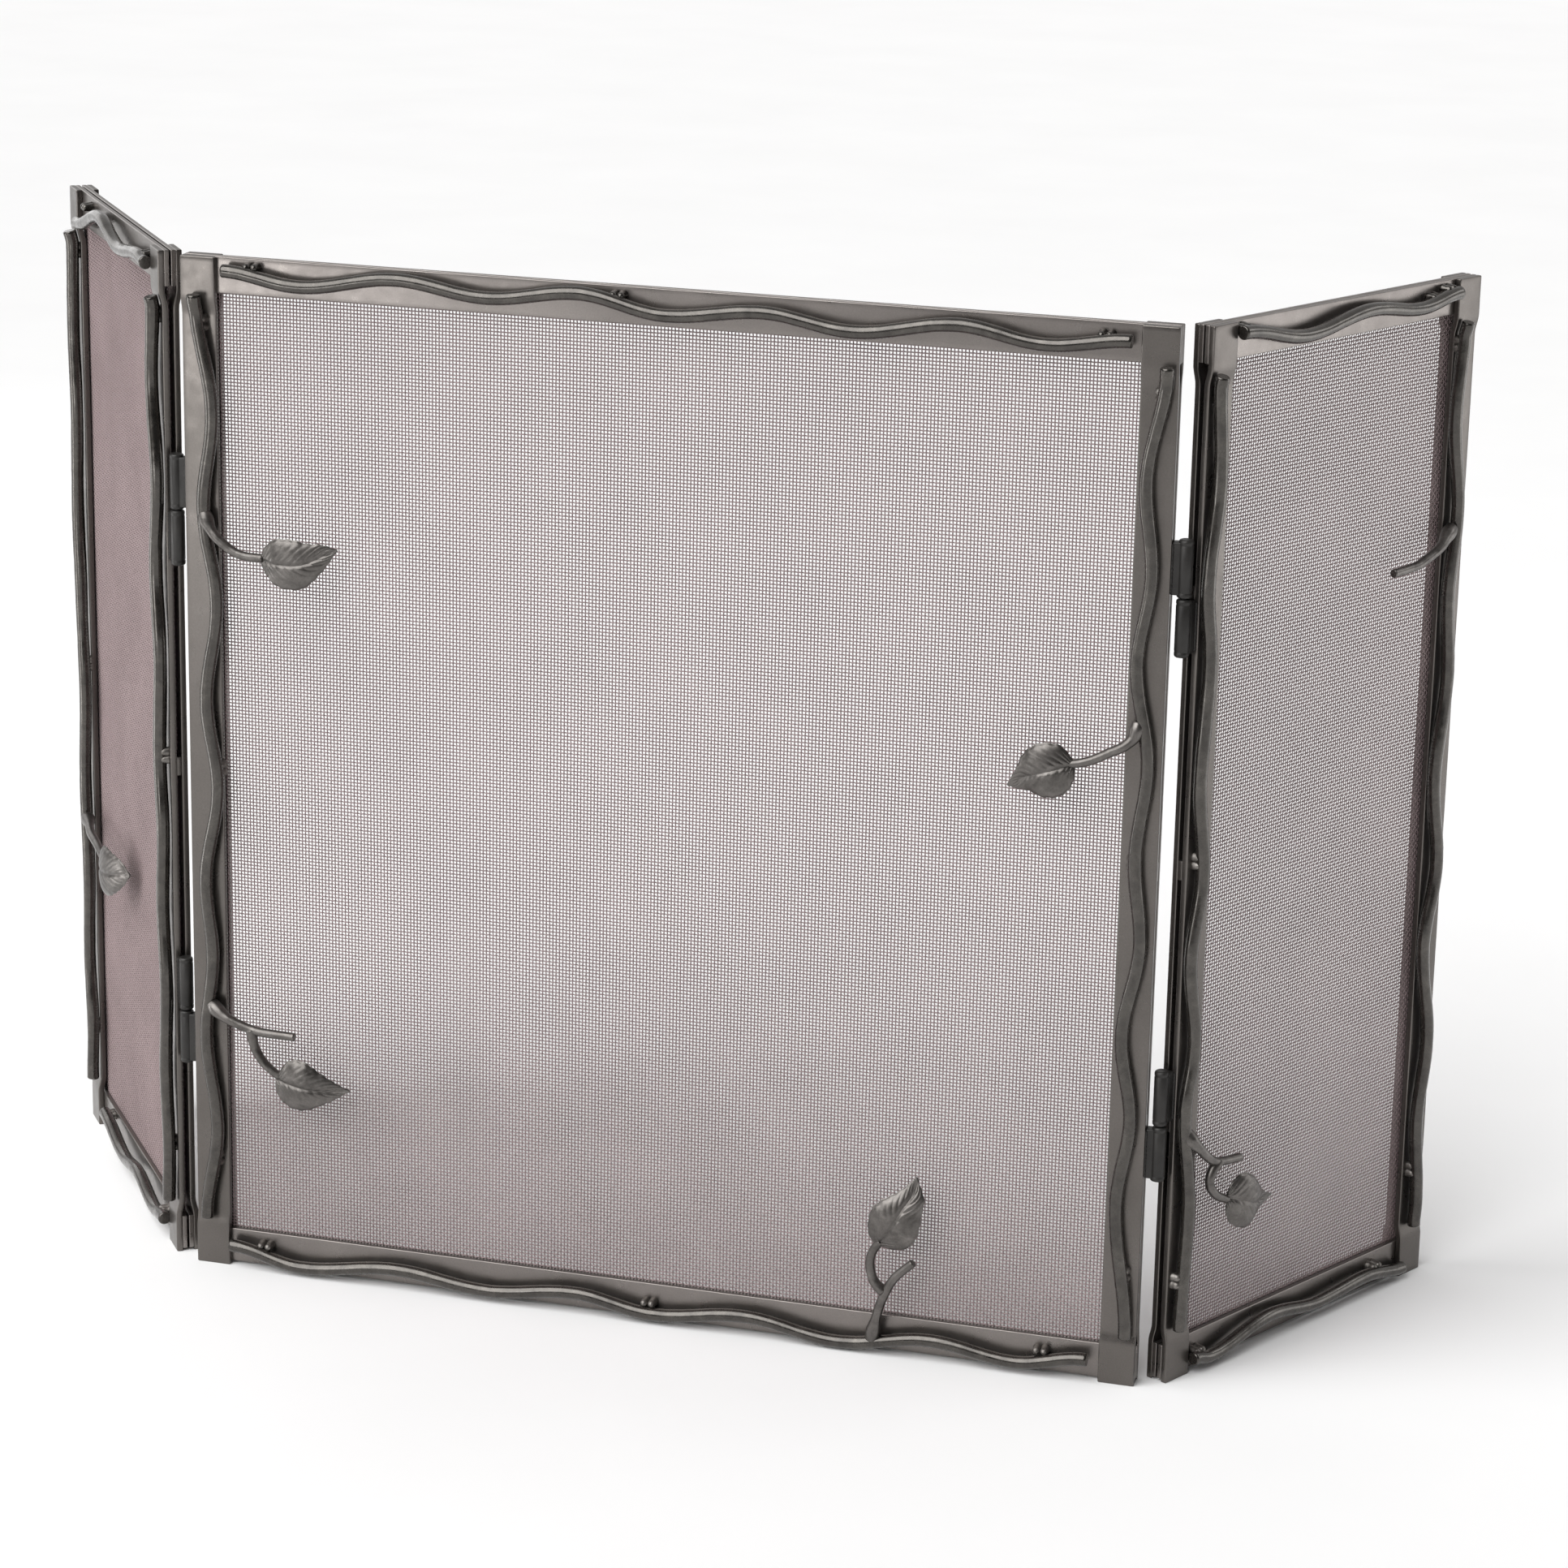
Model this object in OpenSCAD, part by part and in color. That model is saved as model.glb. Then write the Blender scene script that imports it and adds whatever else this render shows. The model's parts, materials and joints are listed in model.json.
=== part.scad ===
// Three-panel folding fireplace screen.
// Each panel is a flat steel frame holding woven wire cloth, trimmed with
// wavy forged branches, twigs and leaves. The two side panels fold on
// barrel hinges that stand in the gaps beside the centre panel.
// Every panel is drawn in its own coordinates: x runs along the panel from
// its left edge (from its hinge edge on a side panel), -y is the front and
// z is up from the floor.

/* [Panels] */
// Height of the screen
screen_h = 762; // [700:1:840]
// Width of the centre panel
centre_w = 718; // [700:1:740]
// Width of each side panel
side_w = 308; // [300:1:320]
// Angle the left panel is folded back from flat
left_fold = 53.3; // [0:0.1:88]
// Angle the right panel is folded back from flat
right_fold = 63; // [0:0.1:88]
// Gap between neighbouring panels, with the hinge axis at its middle
hinge_gap = 18; // [17.8:0.1:20]

/* [Frame bars] */
// Width of the flat bar used all round
bar_w = 26; // [24:1:30]
// Thickness of the stile bars
stile_t = 4.5; // [3.5:0.1:5]
// Thickness of the rail bars and their backing strips
rail_t = 3.5; // [3:0.1:4]
// Space between a rail and its backing strip, which clamps the cloth
clamp_gap = 1.5; // [1.3:0.1:2]
// Space between the front and back bar of a stile
stile_gap = 3.5; // [3:0.1:4]
// Height of the lower rail above the floor
foot_h = 2; // [1:0.5:3]
// Length of the bend that steps a stile bar out over the rails
bend_l = 14; // [10:1:18]

/* [Wire cloth] */
// Solid thickness that holds as much metal as the woven wires
cloth_t = 0.3; // [0.2:0.05:0.5]
// Distance from the panel's outline to the edge of the cloth
cloth_inset = 8; // [7.5:0.5:12]

/* [Branches] */
// Radius of the forged branches
branch_r = 5; // [4:0.1:5.5]
// Depth of a branch's centreline in front of the panel's middle
branch_d = 12; // [12:0.1:14]
// Radius of the pegs that hold the branches
peg_r = 3.2; // [2.5:0.1:4]
// Radius of a twig where it leaves its branch
twig_r = 3.8; // [3:0.1:4.5]
// Radius of a twig at its tip
twig_tip_r = 3; // [2:0.1:3]
// Depth of the twigs and leaves in front of the panel's middle
leaf_d = 18; // [17:0.5:20]
// Thickness of a leaf
leaf_t = 1.6; // [1:0.1:2]

/* [Hinges] */
// Radius of a hinge barrel
barrel_r = 5.25; // [5:0.05:5.8]
// Length of one barrel
barrel_l = 40.7; // [36:0.1:44]
// Space between the two barrels of a hinge
barrel_gap = 0.6; // [0.4:0.1:1]
// Radius of the hinge pin
pin_r = 2.5; // [2:0.1:3]
// Depth of the pin in each barrel
pin_depth = 24; // [20:1:30]
// Radial clearance of the pin in the barrel that turns
pin_play = 0.05; // [0.02:0.01:0.1]
// Thickness of the tab that joins a barrel to its stile
tab_t = 8; // [6:0.5:9]
// Height of the upper hinge's middle
upper_hinge_z = 576; // [560:1:600]
// Height of the lower hinge's middle
lower_hinge_z = 196; // [180:1:220]

/* [Hidden] */

frame_colour = [0.40, 0.38, 0.37];
branch_colour = [0.26, 0.25, 0.23];
hinge_colour = [0.08, 0.08, 0.08];
cloth_colour = [0.62, 0.58, 0.58];

// A rail's front face, and how far a stile's ends step outwards to clear it
rail_front = clamp_gap / 2 + rail_t;
joggle = rail_front - stile_gap / 2;
stile_front = stile_gap / 2 + stile_t;
end_flat = bar_w + foot_h;
axis_x = centre_w / 2 + hinge_gap / 2;
spacer_h = 14;
spacer_w = cloth_inset - 1;
spacer_heights = [lower_hinge_z, screen_h / 2, upper_hinge_z];
bend_steps = 6;
tube_sides = 8;
wave_steps = 5;
cap_round = 1.6;

// Branch waves: [distance along, height] of each crest and trough
centre_top_wave = [
    [34, 753.5], [91, 746], [164, 756], [231, 748], [297, 756],
    [361, 745], [429, 752], [494, 743.5], [567, 753.5], [629, 744.5], [686, 751]
];
centre_bottom_wave = [
    [29, 17.5], [85, 7], [160, 15.5], [231, 8.5], [300, 16], [360, 7.5],
    [430, 15.5], [500, 6], [570, 16], [631, 8.5], [684, 17.5]
];
right_top_wave = [[27, 755], [99, 744.5], [172, 753.5], [232, 747.5], [277, 753.5]];
right_bottom_wave = [[27, 12], [46, 8.5], [116, 19.5], [174, 12.5], [232, 15.5], [281, 9]];
left_top_wave = [[27, 749], [48, 751], [113, 745], [181, 757], [266, 740]];
left_bottom_wave = [[27, 17], [62, 13], [119, 20.5], [166, 15], [243, 25]];
// Upright branches: [height, distance along] of each crest and trough
centre_left_wave = [
    [38, 10], [110, 19.5], [183, 12], [245, 18], [300, 13.5], [375, 24],
    [438, 16.5], [512, 25.5], [582, 16.5], [650, 24], [735, 12.5]
];
centre_right_wave = [
    [38, 711], [138, 700.5], [200, 708], [262, 699.5], [330, 709.5], [392, 703.5],
    [456, 709.5], [530, 699], [592, 706.5], [655, 700], [735, 711.5]
];
right_inner_wave = [
    [40, 9], [130, 13], [205, 4], [252, 11], [318, 2], [378, 11],
    [445, 3], [528, 8], [583, 2], [660, 9.5], [728, 5]
];
right_outer_wave = [
    [40, 293], [58, 294], [125, 288], [186, 295], [265, 282.5], [325, 293],
    [395, 283], [470, 291.5], [532, 286], [592, 291.5], [662, 281.5], [731, 287]
];
left_inner_wave = [
    [40, 9], [80, 5], [140, 11], [208, 4], [270, 11], [330, 5],
    [385, 11], [462, 4], [530, 12], [596, 2], [668, 14], [728, 6]
];
left_outer_wave = [
    [40, 286], [90, 280], [145, 287], [215, 281], [290, 287], [365, 279],
    [440, 285], [515, 290], [590, 285], [655, 290], [730, 286]
];

// Pegs: [distance along, height, depth of the face they stand on]
centre_pegs = [
    [54, 756.5, rail_front], [325, 756, rail_front], [668, 753.5, rail_front],
    [55, 19, rail_front], [356, 14.5, rail_front], [650, 18.5, rail_front],
    [17, 715, stile_front], [26, 388, stile_front], [19, 85, stile_front],
    [706, 715, stile_front], [700, 388, stile_front], [709, 85, stile_front]
];
right_pegs = [
    [32, 757.5, rail_front], [252, 752.5, rail_front], [269, 756.5, rail_front],
    [36, 15, rail_front], [249, 18.5, rail_front],
    [9, 715, stile_front], [8, 388, stile_front], [6, 77, stile_front],
    [285, 715, stile_front], [286, 388, stile_front], [289, 85, stile_front]
];
left_pegs = [
    [40, 753, rail_front], [244, 755, rail_front],
    [40, 19, rail_front], [240, 24, rail_front],
    [10, 715, stile_front], [8, 388, stile_front], [9, 85, stile_front],
    [289, 715, stile_front], [281, 388, stile_front], [284, 85, stile_front]
];

// Twigs: [distance along, height] of the points each one runs through
upper_left_twig = [[17, 578], [21, 571], [28, 563], [40, 554], [50, 550.5], [64, 550]];
lower_left_twig = [[17, 207], [22, 204], [31, 199.5], [41, 195.5], [52, 192.5], [62, 191.5], [84, 191]];
lower_left_stem = [[50, 193], [52, 182], [55, 175], [60, 168], [66, 163], [72, 159]];
bottom_twig = [[526, 12], [529, 25.5], [532.5, 39], [537, 51.5], [544, 64], [556.5, 76.5]];
bottom_stem = [[535, 52], [529, 58], [526, 65], [525, 74], [527, 82], [532, 90]];
right_twig = [[702, 489], [700, 480], [694, 473.5], [685, 468.5], [673, 462], [665, 459], [656, 457]];
side_lower_twig = [[6, 190], [9, 184], [15, 177], [22, 170.5], [31, 164], [41, 161], [62, 158.5]];
side_lower_stem = [[38, 162], [31, 157], [28, 149.5], [31, 142], [38, 135.5], [50, 129.5]];
side_upper_twig = [[285, 581], [275, 577], [265, 572], [255, 567.5], [245, 564.5], [235, 562], [208, 561]];
left_leaf_twig = [[283, 261], [262, 262], [240, 260.5], [220, 258.5], [203, 256], [187, 252.5]];

// Leaves: outlines round from the stem
upper_left_leaf = [
    [62, 549], [66, 557], [70, 562], [76, 565.5], [90, 565.5], [97, 563.5], [118, 563], [120, 560],
    [117, 555], [112, 549], [104, 540], [97, 534], [89, 530.5], [81, 530.5], [75, 532], [69, 538]
];
lower_left_leaf = [
    [69.5, 158], [74, 165], [79, 171.5], [84, 174], [90, 174.5], [97, 171], [104, 166.5], [118, 158.5],
    [126, 153], [113, 145], [106, 141.5], [98, 138.5], [91, 136], [84, 136.5], [77, 139.5], [72, 145]
];
bottom_leaf = [
    [529, 87], [525.5, 93], [523.5, 100], [524.5, 112], [528, 118], [540, 127], [547, 131], [553, 138],
    [557, 141], [561.5, 136], [563.5, 124], [561.5, 112], [560, 99], [556, 91.5], [551, 88], [540, 86]
];
right_leaf = [
    [660, 457], [655, 465], [649, 470.5], [642, 471.5], [635, 470.5], [628, 465.5], [622, 458], [617, 445],
    [613, 439], [614, 434], [622, 436], [640, 433], [647, 434], [653, 436], [658, 441], [660, 448]
];
side_leaf = [
    [48.5, 132], [50, 139], [55, 144.5], [61, 146.5], [68, 146], [74, 142.5], [79, 137], [88, 127],
    [100, 119.5], [80, 117.5], [76, 110], [71, 106], [65, 105.5], [59, 107.5], [52, 112], [47.5, 118]
];
left_leaf_outline = [
    [188, 251], [184, 262], [174, 269], [162, 270], [151, 264], [143, 255],
    [136, 244], [148, 237], [160, 233], [172, 234], [182, 240]
];

// Middle of the standing screen, which the origin sits under
function right_x(along, depth) =
    axis_x + (hinge_gap / 2 + along) * cos(right_fold) + depth * sin(right_fold);
function left_x(along, depth) =
    -axis_x - (hinge_gap / 2 + along) * cos(left_fold) - depth * sin(left_fold);
function back_y(fold) =
    (hinge_gap / 2 + side_w) * sin(fold) + (rail_front + stile_t) * cos(fold);
right_end = max([for (p = right_outer_wave) right_x(p[1], branch_d)]) + branch_r;
left_end = min([for (p = left_outer_wave) left_x(p[1], branch_d)]) - branch_r;
right_edge = max(right_end, right_x(side_w, rail_front + stile_t));
left_edge = min(left_end, left_x(side_w, rail_front + stile_t));
back_edge = max(back_y(left_fold), back_y(right_fold));
front_edge = -(leaf_d + twig_r);
middle_x = (right_edge + left_edge) / 2;
middle_y = (back_edge + front_edge) / 2;

// Placing of the three panels
module in_centre()
    translate([-middle_x - centre_w / 2, -middle_y, 0])
        children();

module in_right()
    translate([axis_x - middle_x, -middle_y, 0])
        rotate([0, 0, right_fold])
            translate([hinge_gap / 2, 0, 0])
                children();

module in_left()
    translate([-axis_x - middle_x, -middle_y, 0])
        rotate([0, 0, -left_fold])
            mirror([1, 0, 0])
                translate([hinge_gap / 2, 0, 0])
                    children();

// Frame bars. The step eases from the full joggle at a stile's ends to none.
function step_at(h) =
    let (t = (min(h, screen_h - h) - end_flat) / bend_l)
    t <= 0 ? joggle : t >= 1 ? 0 : joggle * (1 + cos(180 * t)) / 2;

function bend_heights(low) = [for (i = [0 : bend_steps]) low + bend_l * i / bend_steps];

stile_heights = concat([0], bend_heights(end_flat), bend_heights(screen_h - end_flat - bend_l), [screen_h]);

module stile_bar_profile() {
    n = len(stile_heights) - 1;
    inner = [for (i = [0 : n]) [stile_gap / 2 + step_at(stile_heights[i]), stile_heights[i]]];
    outer = [for (i = [n : -1 : 0]) [stile_front + step_at(stile_heights[i]), stile_heights[i]]];
    polygon(concat(inner, outer));
}

module stile_back_bar(along)
    color(frame_colour)
        translate([along, 0, 0])
            rotate([90, 0, 90])
                linear_extrude(bar_w)
                    stile_bar_profile();

module stile_front_bar(along)
    mirror([0, 1, 0])
        stile_back_bar(along);

module rail(panel_w, low)
    color(frame_colour)
        translate([0, -rail_front, low])
            cube([panel_w, rail_t, bar_w]);

module backing_strips(panel_w)
    color(frame_colour)
        for (low = [foot_h, screen_h - bar_w])
            translate([0, clamp_gap / 2, low])
                cube([panel_w, rail_t, bar_w]);

module wire_cloth(panel_w)
    color(cloth_colour)
        translate([cloth_inset, -clamp_gap / 2, cloth_inset])
            cube([panel_w - 2 * cloth_inset, cloth_t, screen_h - 2 * cloth_inset]);

module stile_spacers(panel_w)
    color(frame_colour)
        for (along = [0, panel_w - spacer_w])
            for (middle = spacer_heights)
                translate([along, -stile_gap / 2, middle - spacer_h / 2])
                    cube([spacer_w, stile_gap, spacer_h]);

// Round bars swept along a path of [x, y, z] points with a radius at each
function unit(v) = v / norm(v);

function path_ring(path, radii, i) =
    let (
        ahead = path[min(i + 1, len(path) - 1)],
        behind = path[max(i - 1, 0)],
        along = unit(ahead - behind),
        side = unit(cross(along, [0, 1, 0])),
        front = cross(side, along)
    )
    [for (k = [0 : tube_sides - 1])
        path[i] + radii[i] * (cos(360 * k / tube_sides) * side + sin(360 * k / tube_sides) * front)];

module swept_rod(path, radii) {
    last = len(path) - 1;
    rings = [for (i = [0 : last]) each path_ring(path, radii, i)];
    skin = [for (i = [0 : last - 1]) for (k = [0 : tube_sides - 1])
        let (
            a = i * tube_sides + k,
            b = i * tube_sides + (k + 1) % tube_sides
        )
        each [[a, a + tube_sides, b], [b, a + tube_sides, b + tube_sides]]];
    near_end = [for (k = [0 : tube_sides - 1]) k];
    far_end = [for (k = [tube_sides - 1 : -1 : 0]) last * tube_sides + k];
    polyhedron(rings, concat(skin, [near_end, far_end]));
}

// Wave through its crests and troughs, eased by a cosine between them
function wave_points(wave) = concat(
    [for (i = [0 : len(wave) - 2]) for (j = [0 : wave_steps - 1])
        let (t = j / wave_steps)
        [wave[i][0] + t * (wave[i + 1][0] - wave[i][0]),
         wave[i][1] + (1 - cos(180 * t)) / 2 * (wave[i + 1][1] - wave[i][1])]],
    [wave[len(wave) - 1]]);

module level_branch(wave)
    color(branch_colour) {
        path = [for (p = wave_points(wave)) [p[0], -branch_d, p[1]]];
        swept_rod(path, [for (p = path) branch_r]);
    }

module upright_branch(wave)
    color(branch_colour) {
        path = [for (p = wave_points(wave)) [p[1], -branch_d - step_at(p[0]), p[0]]];
        swept_rod(path, [for (p = path) branch_r]);
    }

module branch_pegs(pegs)
    color(branch_colour)
        for (peg = pegs)
            translate([peg[0], -peg[2], peg[1]])
                rotate([90, 0, 0])
                    cylinder(h = branch_d + 1 - peg[2], r = peg_r, $fn = 24);

// Twigs step out from the branch to the depth of the leaves
module twig(points, start_d)
    color(branch_colour) {
        last = len(points) - 1;
        path = [for (i = [0 : last])
            [points[i][0], -start_d - min(1, i / 2) * (leaf_d - start_d), points[i][1]]];
        swept_rod(path, [for (i = [0 : last]) twig_r + (twig_tip_r - twig_r) * i / last]);
    }

module leaf(outline)
    color(branch_colour)
        translate([0, -leaf_d + leaf_t / 2, 0])
            rotate([90, 0, 0])
                linear_extrude(leaf_t)
                    polygon(outline);

// Hinges, drawn about the hinge axis with the gap's stile edge at -x
module barrel(low, bore_r, bore_low)
    color(hinge_colour)
        difference() {
            union() {
                translate([0, 0, low])
                    rotate_extrude($fn = 48)
                        polygon([
                            [0, 0], [barrel_r - cap_round, 0],
                            for (a = [0 : 22.5 : 90])
                                [barrel_r - cap_round + cap_round * sin(a), cap_round - cap_round * cos(a)],
                            for (a = [0 : 22.5 : 90])
                                [barrel_r - cap_round + cap_round * cos(a),
                                 barrel_l - cap_round + cap_round * sin(a)],
                            [0, barrel_l]
                        ]);
                translate([-hinge_gap / 2, -tab_t / 2, low + cap_round])
                    cube([hinge_gap / 2, tab_t, barrel_l - 2 * cap_round]);
            }
            translate([0, 0, bore_low])
                cylinder(h = pin_depth + barrel_gap, r = bore_r, $fn = 48);
        }

module upper_barrel(middle, bore_r)
    barrel(middle + barrel_gap / 2, bore_r, middle - barrel_gap / 2);

module lower_barrel(middle, bore_r)
    barrel(middle - barrel_gap / 2 - barrel_l, bore_r, middle - barrel_gap / 2 - pin_depth);

// The centre panel holds the top barrel of the upper hinge and the bottom
// barrel of the lower one, so a side panel cannot be lifted off.
module fixed_barrels() {
    upper_barrel(upper_hinge_z, pin_r);
    lower_barrel(lower_hinge_z, pin_r);
}

module moving_barrels() {
    lower_barrel(upper_hinge_z, pin_r + pin_play);
    upper_barrel(lower_hinge_z, pin_r + pin_play);
}

module hinge_pins()
    color(hinge_colour)
        for (middle = [lower_hinge_z, upper_hinge_z])
            translate([0, 0, middle - pin_depth])
                cylinder(h = 2 * pin_depth, r = pin_r, $fn = 48);

module at_right_axis()
    translate([axis_x - middle_x, -middle_y, 0])
        children();

module at_left_axis()
    translate([-axis_x - middle_x, -middle_y, 0])
        mirror([1, 0, 0])
            children();

// A moving barrel's tab points to the side panel, opposite a fixed one
function tab_turn(fold) = fold + 180;

// Centre panel
module centre_left_stile_front() in_centre() stile_front_bar(0);
module centre_left_stile_back() in_centre() stile_back_bar(0);
module centre_right_stile_front() in_centre() stile_front_bar(centre_w - bar_w);
module centre_right_stile_back() in_centre() stile_back_bar(centre_w - bar_w);
module centre_top_rail() in_centre() rail(centre_w, screen_h - bar_w);
module centre_bottom_rail() in_centre() rail(centre_w, foot_h);
module centre_backing_strips() in_centre() backing_strips(centre_w);
module centre_wire_cloth() in_centre() wire_cloth(centre_w);
module centre_stile_spacers() in_centre() stile_spacers(centre_w);
module centre_top_branch() in_centre() level_branch(centre_top_wave);
module centre_bottom_branch() in_centre() level_branch(centre_bottom_wave);
module centre_left_branch() in_centre() upright_branch(centre_left_wave);
module centre_right_branch() in_centre() upright_branch(centre_right_wave);
module centre_branch_pegs() in_centre() branch_pegs(centre_pegs);
module centre_twigs() in_centre() {
    twig(upper_left_twig, branch_d);
    twig(lower_left_twig, branch_d);
    twig(bottom_twig, branch_d);
    twig(right_twig, branch_d);
}
module centre_leaf_stems() in_centre() {
    twig(lower_left_stem, leaf_d);
    twig(bottom_stem, leaf_d);
}
module centre_upper_left_leaf() in_centre() leaf(upper_left_leaf);
module centre_lower_left_leaf() in_centre() leaf(lower_left_leaf);
module centre_bottom_leaf() in_centre() leaf(bottom_leaf);
module centre_right_leaf() in_centre() leaf(right_leaf);

// Left panel
module left_outer_stile_front() in_left() stile_front_bar(side_w - bar_w);
module left_outer_stile_back() in_left() stile_back_bar(side_w - bar_w);
module left_inner_stile_front() in_left() stile_front_bar(0);
module left_inner_stile_back() in_left() stile_back_bar(0);
module left_top_rail() in_left() rail(side_w, screen_h - bar_w);
module left_bottom_rail() in_left() rail(side_w, foot_h);
module left_backing_strips() in_left() backing_strips(side_w);
module left_wire_cloth() in_left() wire_cloth(side_w);
module left_stile_spacers() in_left() stile_spacers(side_w);
module left_top_branch() in_left() level_branch(left_top_wave);
module left_bottom_branch() in_left() level_branch(left_bottom_wave);
module left_outer_branch() in_left() upright_branch(left_outer_wave);
module left_inner_branch() in_left() upright_branch(left_inner_wave);
module left_branch_pegs() in_left() branch_pegs(left_pegs);
module left_twig() in_left() twig(left_leaf_twig, branch_d);
module left_leaf() in_left() leaf(left_leaf_outline);

// Right panel
module right_outer_stile_front() in_right() stile_front_bar(side_w - bar_w);
module right_outer_stile_back() in_right() stile_back_bar(side_w - bar_w);
module right_inner_stile_front() in_right() stile_front_bar(0);
module right_inner_stile_back() in_right() stile_back_bar(0);
module right_top_rail() in_right() rail(side_w, screen_h - bar_w);
module right_bottom_rail() in_right() rail(side_w, foot_h);
module right_backing_strips() in_right() backing_strips(side_w);
module right_wire_cloth() in_right() wire_cloth(side_w);
module right_stile_spacers() in_right() stile_spacers(side_w);
module right_top_branch() in_right() level_branch(right_top_wave);
module right_bottom_branch() in_right() level_branch(right_bottom_wave);
module right_outer_branch() in_right() upright_branch(right_outer_wave);
module right_inner_branch() in_right() upright_branch(right_inner_wave);
module right_branch_pegs() in_right() branch_pegs(right_pegs);
module right_twigs() in_right() {
    twig(side_lower_twig, branch_d);
    twig(side_upper_twig, branch_d);
}
module right_leaf_stem() in_right() twig(side_lower_stem, leaf_d);
module right_leaf() in_right() leaf(side_leaf);

// Hinges
module left_hinge_fixed_barrels() at_left_axis() fixed_barrels();
module left_hinge_moving_barrels() at_left_axis() rotate([0, 0, tab_turn(left_fold)]) moving_barrels();
module left_hinge_pins() at_left_axis() hinge_pins();
module right_hinge_fixed_barrels() at_right_axis() fixed_barrels();
module right_hinge_moving_barrels() at_right_axis() rotate([0, 0, tab_turn(right_fold)]) moving_barrels();
module right_hinge_pins() at_right_axis() hinge_pins();

centre_left_stile_front();
centre_left_stile_back();
centre_right_stile_front();
centre_right_stile_back();
centre_top_rail();
centre_bottom_rail();
centre_backing_strips();
centre_wire_cloth();
centre_stile_spacers();
centre_top_branch();
centre_bottom_branch();
centre_left_branch();
centre_right_branch();
centre_branch_pegs();
centre_twigs();
centre_leaf_stems();
centre_upper_left_leaf();
centre_lower_left_leaf();
centre_bottom_leaf();
centre_right_leaf();
left_outer_stile_front();
left_outer_stile_back();
left_inner_stile_front();
left_inner_stile_back();
left_top_rail();
left_bottom_rail();
left_backing_strips();
left_wire_cloth();
left_stile_spacers();
left_top_branch();
left_bottom_branch();
left_outer_branch();
left_inner_branch();
left_branch_pegs();
left_twig();
left_leaf();
right_outer_stile_front();
right_outer_stile_back();
right_inner_stile_front();
right_inner_stile_back();
right_top_rail();
right_bottom_rail();
right_backing_strips();
right_wire_cloth();
right_stile_spacers();
right_top_branch();
right_bottom_branch();
right_outer_branch();
right_inner_branch();
right_branch_pegs();
right_twigs();
right_leaf_stem();
right_leaf();
left_hinge_fixed_barrels();
left_hinge_moving_barrels();
left_hinge_pins();
right_hinge_fixed_barrels();
right_hinge_moving_barrels();
right_hinge_pins();
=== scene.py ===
import json
import math

import bpy
import numpy as np
from mathutils import Matrix, Vector


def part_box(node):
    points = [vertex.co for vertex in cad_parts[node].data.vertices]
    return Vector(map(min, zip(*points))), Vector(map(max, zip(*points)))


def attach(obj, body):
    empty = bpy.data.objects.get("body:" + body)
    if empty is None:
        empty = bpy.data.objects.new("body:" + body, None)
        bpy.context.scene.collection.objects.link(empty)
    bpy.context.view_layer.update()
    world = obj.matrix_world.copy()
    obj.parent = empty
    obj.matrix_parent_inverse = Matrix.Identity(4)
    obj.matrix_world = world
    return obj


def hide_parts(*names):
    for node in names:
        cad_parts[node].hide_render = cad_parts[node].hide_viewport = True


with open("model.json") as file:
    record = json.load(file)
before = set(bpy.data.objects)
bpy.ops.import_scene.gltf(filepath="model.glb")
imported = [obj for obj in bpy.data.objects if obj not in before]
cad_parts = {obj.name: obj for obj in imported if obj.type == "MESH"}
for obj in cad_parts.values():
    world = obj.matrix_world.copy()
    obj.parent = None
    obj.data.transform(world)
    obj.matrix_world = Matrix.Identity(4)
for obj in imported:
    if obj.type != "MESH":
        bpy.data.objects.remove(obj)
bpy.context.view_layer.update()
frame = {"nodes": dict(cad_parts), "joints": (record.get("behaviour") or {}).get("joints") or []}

# ---------------------------------------------------------------- driving sizes
# Lengths are in millimetres until a mesh is made. On a panel, a point is
# (along, depth, height): along from the panel's left or hinge edge, depth
# towards its front from its middle plane, height from the floor.
MM = 0.001
LEFT_FOLD = math.radians(53.3)
RIGHT_FOLD = math.radians(63.0)
BAR_W = 26.0
STILE_T = 4.5
RAIL_T = 3.5
CLAMP_GAP = 1.5
STILE_GAP = 3.5
FOOT_H = 2.0
BEND_L = 14.0
CLOTH_INSET = 8.0
SPACER_H = 14.0
BRANCH_R = 5.0
BRANCH_D = 12.0
LEAF_D = 18.0
TWIG_R = 3.8
TWIG_TIP_R = 3.1
PEG_R = 2.9
PEG_TOP = 13.0
BARREL_R = 5.25
BARREL_L = 40.7
BARREL_GAP = 0.6
BORE_R = 2.56
BORE_DEPTH = 24.6
TAB_T = 8.0
HINGE_MIDDLES = {"upper": 576.0, "lower": 196.0}
CAP_R = 1.8
LIP_DEPTH = 0.25
BORE_CHAMFER = 0.3
MESH_PITCH = 2.54
WIRE_D = 0.98
RING_STEP = 1.5

RAIL_FRONT = CLAMP_GAP / 2 + RAIL_T
JOGGLE = RAIL_FRONT - STILE_GAP / 2
STILE_FRONT = STILE_GAP / 2 + STILE_T
END_FLAT = BAR_W + FOOT_H

joints = {j["name"]: j for j in frame["joints"]}
left_axis = Vector(joints["left_fold"]["pos_m"])
right_axis = Vector(joints["right_fold"]["pos_m"])
rail_low, rail_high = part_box("centre_top_rail")
SCREEN_H = rail_high[2] / MM
CENTRE_W = (rail_high[0] - rail_low[0]) / MM
HALF_GAP = (right_axis.x - rail_high[0]) / MM
SIDE_W = 308.0


class Panel:
    """Places points given as (along, depth, height) in mm into the row frame."""

    def __init__(self, body, width, corner, along, front):
        self.body = body
        self.width = width
        self.corner = np.array(corner)
        self.axes = np.array([along, front, (0.0, 0.0, 1.0)])
        self.flips = np.linalg.det(self.axes) < 0

    def place(self, points):
        return self.corner + (np.asarray(points, float) * MM) @ self.axes


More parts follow.
